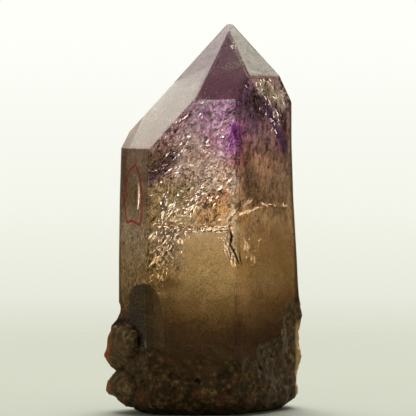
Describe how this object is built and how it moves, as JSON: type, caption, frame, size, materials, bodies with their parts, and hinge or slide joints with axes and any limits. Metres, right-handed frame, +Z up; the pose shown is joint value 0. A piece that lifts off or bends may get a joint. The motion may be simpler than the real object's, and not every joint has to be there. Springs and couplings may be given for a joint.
{
  "type": "enhydro amethyst point",
  "caption": "Six-sided amethyst crystal with a pointed tip, smoky lower half and rough brown root, standing on its flat broken base.",
  "frame": {"origin": "on the flat resting face at the root, on the crystal's long axis", "axes": "+Z up along the crystal's long axis to its tip, -Y out of the broad front prism face towards the viewer, +X to the viewer's right"},
  "size_m": [0.0566, 0.0475, 0.11],
  "materials": {
    "quartz": "clear natural crystal faces with a purple tip and smoky middle, over a rough brown root"
  },
  "bodies": {
    "root": {"amethyst_point": "quartz"}
  },
  "joints": []
}
